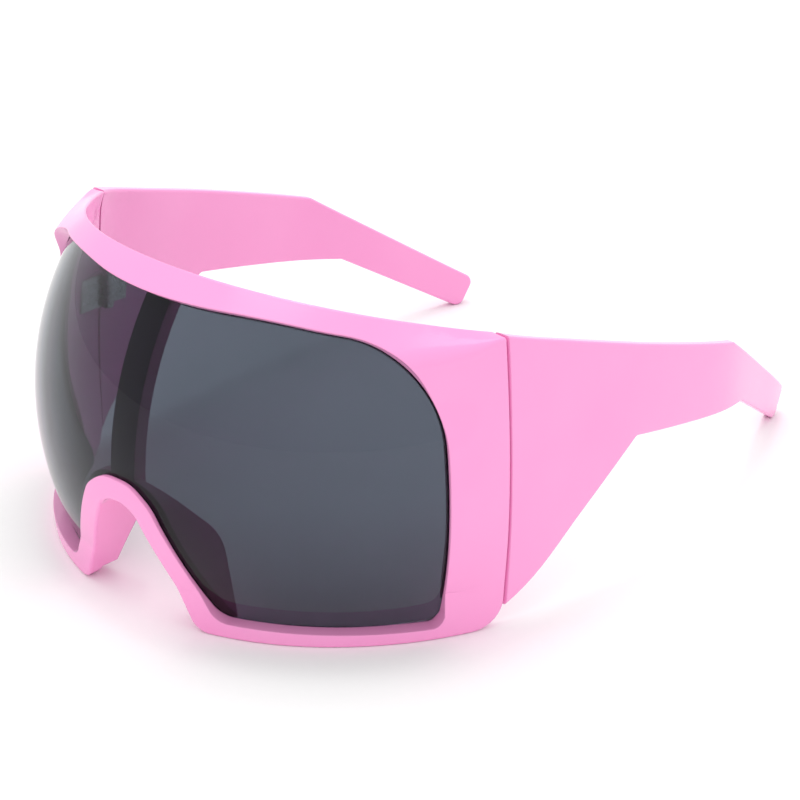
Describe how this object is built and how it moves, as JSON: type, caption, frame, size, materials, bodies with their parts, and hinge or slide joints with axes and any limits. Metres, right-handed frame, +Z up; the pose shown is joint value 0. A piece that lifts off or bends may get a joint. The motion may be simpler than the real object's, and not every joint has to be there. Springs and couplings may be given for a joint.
{
  "type": "shield sunglasses",
  "caption": "Oversized wraparound shield sunglasses: thick glossy front round a single tinted spherical lens, broad angular temples on metal hinges that fold inwards.",
  "frame": {"origin": "middle of the whole part's outline seen from above, on the table it stands on", "axes": "+Z up, -Y towards the front of the lens, +X towards the wearer's left"},
  "size_m": [0.1492, 0.1916, 0.0835],
  "materials": {
    "pink_polycarbonate": "polished",
    "smoke_polycarbonate": "polished, tinted",
    "plated_steel": "nickel plated"
  },
  "bodies": {
    "front": {"front_frame": "pink_polycarbonate", "shield_lens": "smoke_polycarbonate", "left_front_hinge_leaf": "plated_steel", "left_front_leaf_screws": "plated_steel", "left_hinge_screw": "plated_steel", "right_front_hinge_leaf": "plated_steel", "right_front_leaf_screws": "plated_steel", "right_hinge_screw": "plated_steel"},
    "left_arm": {"left_temple": "pink_polycarbonate", "left_temple_hinge_leaf": "plated_steel", "left_temple_leaf_screws": "plated_steel"},
    "right_arm": {"right_temple": "pink_polycarbonate", "right_temple_hinge_leaf": "plated_steel", "right_temple_leaf_screws": "plated_steel"}
  },
  "joints": [
    {"name": "left_temple_fold", "type": "hinge", "parent": "front", "child": "left_arm", "pos_m": [0.06351, -0.03802, 0.0457], "axis": [-0.0568, 0.0418, 0.9975], "range_deg": [0, 80]},
    {"name": "right_temple_fold", "type": "hinge", "parent": "front", "child": "right_arm", "pos_m": [-0.06351, -0.03802, 0.0457], "axis": [-0.0568, -0.0418, -0.9975], "range_deg": [0, 35]}
  ]
}
